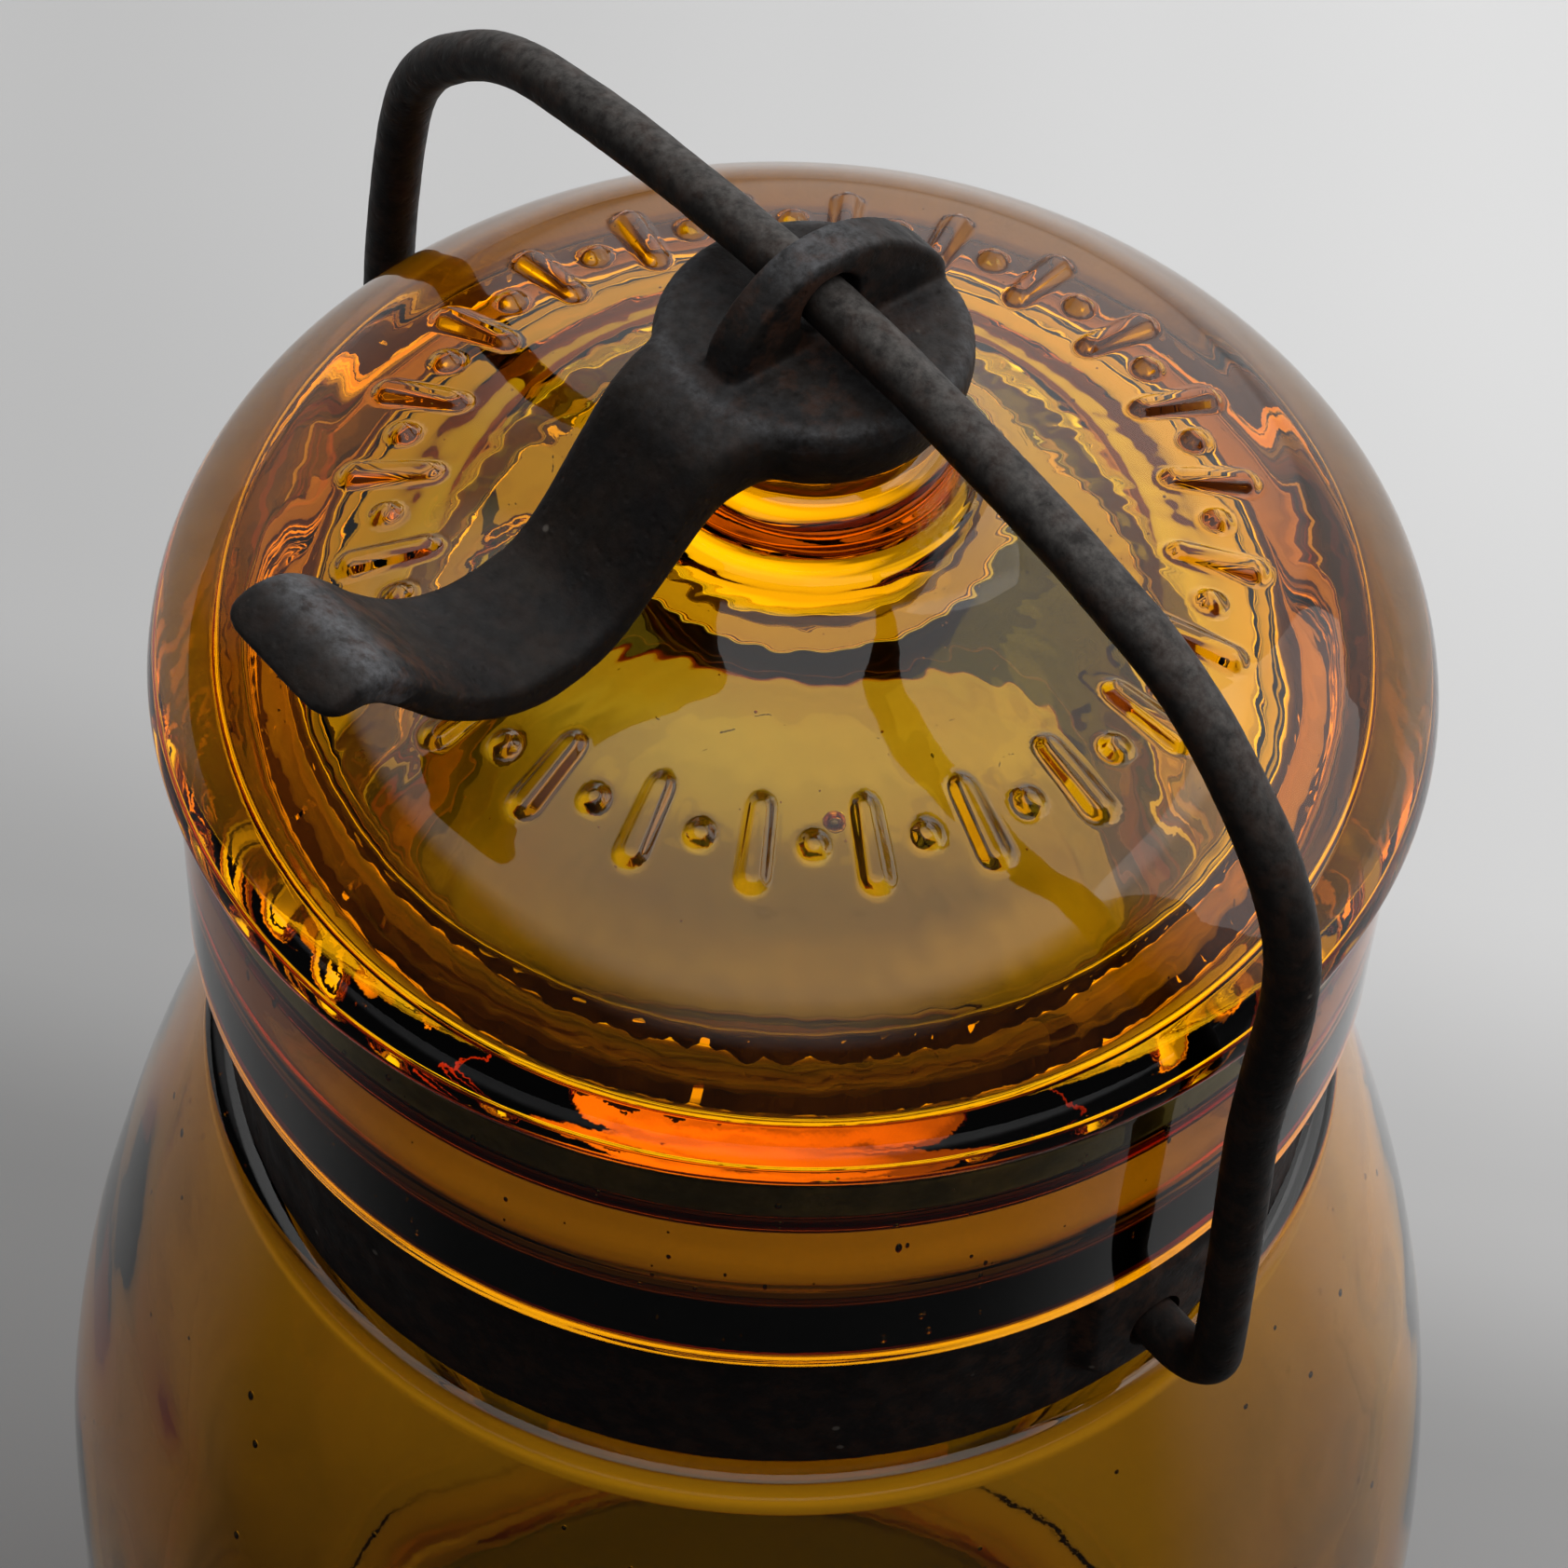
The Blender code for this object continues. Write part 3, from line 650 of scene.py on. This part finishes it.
def make_jar(surface):
    outline, inner_count = jar_outline()

    def push(points, r, theta, row):
        """An uneven wall inside and a faintly rippled skin outside, both only below the neck."""
        z = points[:, 2]
        body = np.clip((134.0 - z) / 25, 0, 1) * np.clip(z / 12, 0, 1)
        thick = 0.28 * waves(points, 55, 11) + 0.07 * waves(points, 17, 12)
        skin = np.minimum(-0.10 + 0.10 * waves(points, 48, 13), 0.0)
        skin = skin + 0.02 * waves(points, 11, 14) * (skin < -0.05)
        return np.where(row < inner_count, thick * body, skin * body)

    jar = turned("jar_glass", outline, columns=256, push=push)
    jar.data.materials.append(surface)
    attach(jar, "jar")
    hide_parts("jar_body")


# Bubbles in the glass

FINISH_SEEDS = 260
SHOULDER_SEEDS = 110
LID_SEEDS = 90


def ball(points, faces, centre, radius, stretch, sides=10, rows=6):
    """Adds one bubble, stretched along Z, with its faces turned inward."""
    x, y, z = centre
    start = len(points)
    points.append((x, y, z + radius * stretch))
    for row in range(1, rows):
        tilt = math.pi * row / rows
        out, up = radius * math.sin(tilt), radius * stretch * math.cos(tilt)
        for i in range(sides):
            turn = TURN * i / sides
            points.append((x + out * math.cos(turn), y + out * math.sin(turn), z + up))
    points.append((x, y, z - radius * stretch))
    last = len(points) - 1
    for i in range(sides):
        j = (i + 1) % sides
        faces.append((start, start + 1 + j, start + 1 + i))
        faces.append((last, last - sides + i, last - sides + j))
        for row in range(rows - 2):
            a, b = start + 1 + row * sides, start + 1 + (row + 1) * sides
            faces.append((a + i, a + j, b + j, b + i))


def make_seeds(name, body, places, surface):
    """The bubbles in old glass. Each place is (x, y, z, radius, stretch)."""
    points, faces = [], []
    for x, y, z, radius, stretch in places:
        ball(points, faces, (x, y, z), radius, stretch)
    seeds = make_mesh(name, points, faces)
    seeds.data.materials.append(surface)
    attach(seeds, body)


def jar_seeds():
    """Fine seeds in the thick finish and larger ones in the shoulder."""
    rng = np.random.RandomState(51)
    places = []
    for _ in range(FINISH_SEEDS):
        theta, z = rng.uniform(0, TURN), rng.uniform(152.8, 168.6)
        r, radius = rng.uniform(37.2, 37.6), 0.06 + 0.34 * rng.beta(1.1, 6)
        places.append((r * math.cos(theta), r * math.sin(theta), z, radius, rng.uniform(1.0, 2.4)))
    for _ in range(SHOULDER_SEEDS):
        theta, z = rng.uniform(0, TURN), rng.uniform(84, 130)
        r, radius = shoulder(z) - rng.uniform(0.9, 1.6), 0.14 + 0.42 * rng.beta(1.2, 4)
        places.append((r * math.cos(theta), r * math.sin(theta), z, radius, rng.uniform(0.9, 1.6)))
    return places


def lid_seeds():
    """One round bubble under the ornament and a sprinkle of fine ones through the lid's top."""
    rng = np.random.RandomState(61)
    places = [(18.3, -12.4, LID_LOW + 13.2, 0.75, 0.8)]
    for _ in range(LID_SEEDS):
        r, theta = 29 * math.sqrt(rng.uniform(0.1, 1)), rng.uniform(0, TURN)
        top = LID_LOW + np.interp(r, [9, 15, 22, 29], [17.9, 16.0, 14.9, 13.3])
        z = top - rng.uniform(0.4, 1.9)
        radius = 0.05 + 0.12 * rng.beta(1.2, 5)
        places.append((r * math.cos(theta), r * math.sin(theta), z, radius, 1.0))
    return places


# Rubber ring

RING = [
    (31.45, 169.0), (31.9, 169.45), (34.0, 169.5), (36.2, 169.45), (36.65, 169.0), (36.7, 167.2),
    (36.65, 165.4), (36.2, 164.95), (34.0, 164.9), (31.9, 164.95), (31.45, 165.4), (31.38, 167.2),
]


def make_ring(surface):
    outline = smooth_line(RING + RING[:1], 0.5)[:-1]

    def push(points, r, theta, row):
        """Inside, the ring grips the lid's skirt here and there; elsewhere it only waves."""
        grip = np.clip((32.0 - r) / 0.4, 0, 1)
        held = 0.07 + 0.06 * waves(points * [1, 1, 0.3], 0.8, 22)
        return grip * held - (1 - grip) * (0.04 - 0.04 * waves(points, 6, 21))

    # Painted shade: the ring grows darker towards its front side
    def shaded_side(p, up):
        return (FRONT[0] * p[:, 0] + FRONT[1] * p[:, 1] - 4) / 18

    ring = turned("rubber_ring", outline, columns=384, closed=True, push=push)
    ring.data.materials.append(surface)
    rate(ring, "painted_shade", shaded_side)
    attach(ring, "jar")
    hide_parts("sealing_ring")


# Neck band and rivet

BAND_EDGE_R = 0.4
EAR_HALF_FLAT = 2.2
EAR_LOW = 142.5
EAR_ROUND = 3.6
EAR_SLOPE = 1.3
EAR_BULGE = 1.38
LAP_HALF_WIDTH = 8.0
LAP_BULGE = 1.45
RIVET_HOLE_R = 1.9
RIVET_HEAD = [(0.0, 1.28), (1.2, 1.2), (2.2, 0.85), (2.85, 0.35), (3.05, 0.05)]


def cut_hole(obj, radius, middle, axis, length):
    """Cuts a round hole along X or Y, and keeps the result in the mesh."""
    aim = Matrix.Rotation(math.pi / 2, 4, "Y" if axis == "X" else "X")
    shape = bmesh.new()
    bmesh.ops.create_cone(
        shape, cap_ends=True, segments=48, radius1=radius * MM, radius2=radius * MM,
        depth=length * MM, matrix=Matrix.Translation(Vector(middle) * MM) @ aim)
    mesh = bpy.data.meshes.new("hole")
    shape.to_mesh(mesh)
    shape.free()
    tool = bpy.data.objects.new("hole", mesh)
    bpy.context.scene.collection.objects.link(tool)
    cut_away(obj, "Hole", tool)
    bpy.data.objects.remove(tool)
    bpy.data.meshes.remove(mesh)


def make_band(surface):
    edge = BAND_EDGE_R
    middle = (BAND_LOW + BAND_HIGH) / 2
    top = arc((BAND_OUT - edge, BAND_HIGH - edge), edge, 90, 0, 3)
    foot = arc((BAND_OUT - edge, BAND_LOW + edge), edge, 0, -90, 3)
    face = np.column_stack([np.full(30, BAND_OUT), np.linspace(BAND_HIGH - 0.7, BAND_LOW + 0.7, 30)])
    back_heights = np.linspace(BAND_LOW + 0.1, BAND_HIGH - 0.1, 10)
    back = np.column_stack([np.full(10, BAND_IN + 0.02), back_heights])
    outline = np.vstack([top, face, foot, back])
    is_face = len(top) + len(face) + len(foot)

    def push(points, r, theta, row):
        """The ears bulge at both sides and the lap at the back, on a slightly rough face."""
        outside = (row < is_face) & (row > 0)
        x, y, z = points.T
        beside, below = np.maximum(np.abs(y) - EAR_HALF_FLAT, 0), np.maximum(EAR_LOW - z, 0)
        ear = ease(np.clip((EAR_ROUND - np.hypot(beside, below)) / EAR_SLOPE, 0, 1))
        above = np.clip((BAND_HIGH - z) / 0.5, 0, 1)
        within = np.clip((z - BAND_LOW) / 0.8, 0, 1) * above
        lap = np.clip((LAP_HALF_WIDTH - np.abs(x)) / 0.5, 0, 1) * (y > 0)
        rough = 0.05 * waves(points, 7, 31) + 0.03 * waves(points, 2.5, 32)
        bulge = EAR_BULGE * ear * above + LAP_BULGE * lap * within
        return np.where(outside, bulge - 0.06 + np.minimum(rough, 0.05) * within, 0.0)

    band = turned("neck_strap", outline, columns=720, closed=True, push=push)
    cut_hole(band, EYE_R, (0, 0, EAR_Z), axis="X", length=120)
    cut_hole(band, RIVET_HOLE_R, (0, 40, middle), axis="Y", length=14)
    band.data.materials.append(surface)
    rate(band, "wear_and_sheen", lambda p, up: 0.1 + 0.4 * np.exp(-((np.abs(p[:, 0]) - 37.8) / 0.5) ** 2))
    rate(band, "rust", lambda p, up: 0.25 + 0.5 * np.exp(-((np.abs(p[:, 0]) - 37) / 3) ** 2))
    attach(band, "jar")
    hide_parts("neck_band")


def make_rivet(surface):
    face = BAND_OUT + 1.8
    head = smooth_line([(r, face + height) for r, height in RIVET_HEAD], 0.25)
    shank = [(1.6, face), (1.6, BAND_IN + 0.4), (1.3, BAND_IN + 0.1), (0.0, BAND_IN + 0.1)]
    rivet = turned("strap_rivet", np.vstack([head, shank]), columns=48, sharp=40)
    dent(rivet, size=1.6, depth=0.08, seed=5)
    place = Matrix.Translation((0, 0, (BAND_LOW + BAND_HIGH) / 2 * MM))
    rivet.data.transform(place @ Matrix.Rotation(-math.pi / 2, 4, "X"))
    rivet.data.materials.append(surface)
    rate(rivet, "wear_and_sheen", lambda p, up: 0.4 + 0 * up)
    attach(rivet, "jar")
    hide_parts("band_rivet")


# Wire bail

# (distance from the middle, height above the ears) of one half, from the top down to the hook
BAIL_SIDE = [
    (0.0, 60.8), (6.0, 60.62), (12.0, 60.1), (18.9, 59.3), (24.0, 58.4), (28.6, 57.3), (32.3, 55.5),
    (35.8, 52.7), (38.3, 50.1), (40.2, 47.1), (41.3, 44.0), (41.9, 40.1), (42.2, 35.3), (42.4, 27.0),
    (42.7, 18.0), (42.9, 10.0), (43.0, 3.5),
]
BAIL_LEAN = 1.6
LEAN_FROM = 24.0
LEAN_OVER = 22.0
HOOK_X = 39.5
HOOK_R = 3.5
WIRE_END = 35.2


def make_bail(surface):
    hook = arc((HOOK_X, HOOK_R), HOOK_R, 0, -90, 12)[1:]
    stub = np.column_stack([np.linspace(HOOK_X - 0.4, WIRE_END, 9), np.zeros(9)])
    half = np.vstack([smooth_line(BAIL_SIDE, 0.45), hook, stub])
    path = np.vstack([half[:0:-1] * [-1, 1], half])
    path[:, 0] += BAIL_LEAN * ease(np.clip((path[:, 1] - LEAN_FROM) / LEAN_OVER, 0, 1))
    heading = np.gradient(path, axis=0)
    heading /= np.linalg.norm(heading, axis=1)[:, None]
    centre = np.column_stack([path[:, 0], np.zeros(len(path)), path[:, 1] + EAR_Z])
    wobble = waves(centre, 9, 41) * 0.02 + waves(centre, 30, 42) * 0.015
    from_end = np.minimum(np.arange(len(path)), np.arange(len(path))[::-1])
    rounded = np.where(from_end == 0, 0.72, np.where(from_end == 1, 0.93, 1.0))
    radius = (WIRE_R - 0.05 + np.minimum(wobble, 0.05)) * rounded
    sides = 32
    turn = np.arange(sides) * TURN / sides
    points = []
    for k in range(len(path)):
        across = np.array([-heading[k, 1], 0, heading[k, 0]])
        ring = np.cos(turn)[:, None] * across + np.sin(turn)[:, None] * np.array([0, 1.0, 0])
        points.extend((centre[k] + ring * radius[k]).tolist())
    bail = make_mesh("bail_wire", points, tube_faces(len(path), sides))
    face_outward(bail.data)
    shade_smooth(bail.data, sharp=50)
    dent(bail, size=1.6, depth=0.035, seed=2)
    bail.data.materials.append(surface)

    def worn_and_sheen(p, up):
        """Paler on the upper side near the lever: partly rubbed, partly a painted sheen of the light
        from above.
        """
        return 0.03 + 0.65 * np.clip((up - 0.3) / 0.6, 0, 1) * np.clip((p[:, 2] - 186) / 12, 0.0, 1)

    rate(bail, "wear_and_sheen", worn_and_sheen)
    rate(bail, "rust", lambda p, up: 0.3 + 0 * up)
    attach(bail, "bail")
    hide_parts("wire_bail")


# Cam lever, with (distance along Y, height) round the wire's centre

HANDLE_TOP = [
    (-4.5, -3.0), (-8.2, -2.4), (-9.9, -2.6), (-11.5, -3.5), (-13.2, -5.7), (-14.8, -8.2),
    (-16.5, -10.8), (-18.4, -12.4), (-21.0, -13.0), (-23.5, -12.9), (-26.0, -12.0), (-27.9, -10.6),
    (-29.5, -9.0), (-31.0, -7.1), (-32.5, -5.4), (-34.0, -4.5), (-35.6, -4.4), (-37.0, -4.9),
    (-38.0, -5.6),
]
HANDLE_BOTTOM = [
    (-37.7, -6.2), (-36.5, -6.6), (-35.0, -6.9), (-34.0, -7.6), (-31.9, -10.0), (-30.4, -11.8),
    (-28.5, -13.5), (-26.6, -14.8), (-23.9, -16.0), (-21.6, -16.2), (-18.3, -15.3), (-15.0, -12.7),
    (-13.4, -11.1), (-11.7, -9.4), (-10.1, -7.9), (-8.3, -7.2), (-4.5, -6.6),
]
HANDLE_HALF_WIDTH = 4.6
FIN = [
    (7.3, -3.6), (8.9, -2.8), (8.4, -1.4), (7.3, 0.0), (5.8, 1.45), (4.0, 2.65), (2.1, 3.36),
    (0.2, 3.67), (-1.7, 3.48), (-3.3, 2.8), (-4.9, 1.65), (-6.2, 0.15), (-7.1, -1.7), (-7.6, -3.6),
]
FIN_HALF_WIDTH = 1.3
DISC_TOP = -2.6
DISC_LOW = -7.4
DISC_RIM = [
    (8.3, DISC_TOP), (9.0, -2.95), (9.3, -4.2), (9.1, -5.6), (8.6, -6.7), (7.8, -7.25),
    (6.8, DISC_LOW),
]
CAM_R = 7.4
CAM_REACH = 13.3
CAM_SLOPE = 35
CASTING_GRAIN = 0.19


def resample(points, count):
    """The same line, drawn with evenly spaced points."""
    steps = np.linalg.norm(np.diff(points, axis=0), axis=1)
    run = np.concatenate([[0], np.cumsum(steps)])
    wanted = np.linspace(0, run[-1], count)
    return np.column_stack([np.interp(wanted, run, points[:, k]) for k in range(2)])


def loft_handle():
    """The handle: rounded sections from the disc out to the thumb rest."""
    count, sides = 110, 64
    upper = resample(smooth_line(HANDLE_TOP, 0.3), count)
    lower = resample(smooth_line(HANDLE_BOTTOM[::-1], 0.3), count)
    centre, half = (upper + lower) / 2, (upper - lower) / 2
    y = centre[:, 0]
    past = np.clip((-27 - y) / 11, 0, 1)
    neck = np.clip((y + 12.5) / 5, 0, 1)
    width = HANDLE_HALF_WIDTH * (1 + 0.08 * past) + 0.9 * neck ** 2
    left = np.clip(np.linspace(len(y) - 1, 0, len(y)) * 0.33 / 1.5, 0, 1)
    width = width - 1.5 * (1 - np.sqrt(np.maximum(1 - (1 - left) ** 2, 0)))
    turn = np.arange(sides) * TURN / sides
    roundness = 0.42
    across = np.sign(np.cos(turn)) * np.abs(np.cos(turn)) ** roundness
    over = np.sign(np.sin(turn)) * np.abs(np.sin(turn)) ** roundness
    points = np.stack([
        width[:, None] * across, centre[:, :1] + half[:, :1] * over,
        centre[:, 1:] + half[:, 1:] * over], 2)
    handle = make_mesh("handle", points.reshape(-1, 3) / MM, tube_faces(count, sides))
    face_outward(handle.data)
    return handle


def slab(name, outlines, half_width):
    """Outlines in the YZ plane, given a width along X, as one closed mesh."""
    curve = bpy.data.curves.new(name, "CURVE")
    curve.dimensions = "2D"
    curve.fill_mode = "BOTH"
    curve.extrude = 1.0
    for points in outlines:
        spline = curve.splines.new("POLY")
        spline.points.add(len(points) - 1)
        for point, (y, z) in zip(spline.points, points):
            point.co = (y, z, 0.0, 1.0)
        spline.use_cyclic_u = True
    flat = bpy.data.objects.new(name, curve)
    mesh = bpy.data.meshes.new_from_object(flat)
    bpy.data.objects.remove(flat)
    bpy.data.curves.remove(curve)
    for vertex in mesh.vertices:
        y, z, x = vertex.co
        vertex.co = (x * half_width, y, z)
    face_outward(mesh, weld=0.001)
    obj = bpy.data.objects.new(name, mesh)
    bpy.context.scene.collection.objects.link(obj)
    return obj


def make_disc():
    """The clamping disc, cut to a cam underneath, with its top a little aslant."""
    rim = smooth_line(DISC_RIM, 0.3)
    top = [(0.0, DISC_TOP), (3.0, DISC_TOP), (6.0, DISC_TOP)]
    under = [(3.0, DISC_LOW), (0.0, DISC_LOW)]
    disc = turned("disc", np.vstack([top, rim, under]), columns=96)
    disc.data.transform(Matrix.Scale(1 / MM, 4))
    cam = arc((0, 0), CAM_R, -90, -55, 12)
    rise = (CAM_REACH - cam[-1, 0]) * math.tan(math.radians(CAM_SLOPE))
    cam = np.vstack([cam, [(CAM_REACH, cam[-1, 1] + rise), (CAM_REACH, -12.0), (0.0, -12.0)]])
    relief = slab("relief", [cam.tolist()], half_width=14.0)
    cut_away(disc, "Cam", relief)
    bpy.data.objects.remove(relief)
    for vertex in disc.data.vertices:
        x, y, z = vertex.co
        vertex.co.z += 0.05 * (x - y) / math.sqrt(2) * min(max((z + 5.5) / 2.5, 0.0), 1.0)
    return disc


def fillet(lever):
    """Melts the casting's inner corners, where the handle meets the disc and the fin stands on it."""
    group = lever.vertex_groups.new(name="corners")
    for vertex in lever.data.vertices:
        x, y, z = vertex.co
        side = math.exp(-(((abs(x) - 4.9) ** 2 + (y + 7.9) ** 2) / 1.7 ** 2))
        seam = 0.8 * math.exp(-(((y + 7.8) / 1.6) ** 2 + ((z + 2.6) / 1.0) ** 2))
        foot = 0.35 * math.exp(-(((abs(x) - 1.5) / 0.8) ** 2 + ((z + 2.5) / 0.8) ** 2))
        weight = min(1.0, max(side, seam, foot))
        if weight > 0.05:
            group.add([vertex.index], weight, "REPLACE")
    melt = lever.modifiers.new("Fillet", "SMOOTH")
    melt.factor = 0.5
    melt.iterations = 60
    melt.vertex_group = "corners"
    apply_modifiers(lever)


def make_lever(surface):
    """Disc, handle and fin, melted together as one casting."""
    disc = make_disc()
    handle = loft_handle()
    eye = arc((0, 0), EYE_R, 0, 354, 59).tolist()
    fin = slab("fin", [smooth_line(FIN, 0.4).tolist(), eye], FIN_HALF_WIDTH)

    lever = bpy.data.objects.new("cast_lever", bpy.data.meshes.new("cast_lever"))
    bpy.context.scene.collection.objects.link(lever)
    shape = bmesh.new()
    for piece in (disc, handle, fin):
        shape.from_mesh(piece.data)
    shape.to_mesh(lever.data)
    shape.free()
    for piece in (disc, handle, fin):
        bpy.data.objects.remove(piece)
    remesh = lever.modifiers.new("Melt", "REMESH")
    remesh.mode = "VOXEL"
    remesh.voxel_size = CASTING_GRAIN
    melt = lever.modifiers.new("Soften", "SMOOTH")
    melt.factor = 0.5
    melt.iterations = 4
    apply_modifiers(lever)
    fillet(lever)
    lever.data.transform(Matrix.Translation((0, 0, WIRE_Z * MM)) @ Matrix.Scale(MM, 4))
    lever.data.update()
    dent(lever, size=1.7, depth=0.045, seed=1)
    shade_smooth(lever.data)
    lever.data.materials.append(surface)

    def worn_and_sheen(p, up):
        """Rubbed on the thumb rest's crest; a painted highlight on the fin's top, the disc's lip and
        its upper face.
        """
        crest = np.exp(-((p[:, 1] + 33.6) / 1.5) ** 2) * (p[:, 2] > 196)
        top = np.clip((p[:, 2] - 206.6) / 1.0, 0, 1)
        lip = np.exp(-((np.hypot(p[:, 0], p[:, 1]) - 8.8) / 0.5) ** 2) * (p[:, 2] > 200.5)
        face = np.clip((up - 0.6) / 0.3, 0, 1) * (p[:, 2] > 200)
        return 0.05 + 1.0 * crest + 0.6 * top + 0.35 * lip + 0.12 * face

    def rusty(p, up):
        """Rusty on the thumb rest and on the disc beside the fin."""
        thumb = np.exp(-((p[:, 1] + 31.5) / 2.6) ** 2) * (p[:, 2] > 193)
        seat = np.exp(-(np.hypot(p[:, 0] - 3, p[:, 1] + 2) / 5) ** 2) * (p[:, 2] > 200)
        return 0.1 + 0.9 * thumb + 0.8 * seat

    rate(lever, "wear_and_sheen", worn_and_sheen)
    rate(lever, "rust", rusty)
    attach(lever, "lever")
    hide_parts("cam_lever")


def main():
    bpy.context.scene.view_settings.view_transform = "Standard"
    add_camera()
    add_stage()
    add_light()
    jar_glass = amber("amber_jar", JAR_TINT, JAR_DENSITY)
    lid_glass = amber("amber_lid", LID_TINT, LID_DENSITY)
    make_jar(jar_glass)
    make_lid(lid_glass)
    make_seeds("jar_seeds", "jar", jar_seeds(), jar_glass)
    make_seeds("lid_seeds", "lid", lid_seeds(), lid_glass)
    make_ring(rubber("aged_rubber"))
    make_band(iron("strap_iron", *STRAP_LOOK))
    make_rivet(iron("rivet_iron", *RIVET_LOOK))
    make_bail(iron("wire_iron", *WIRE_LOOK))
    make_lever(iron("cast_iron", *CAST_LOOK, grain=0.03))


main()
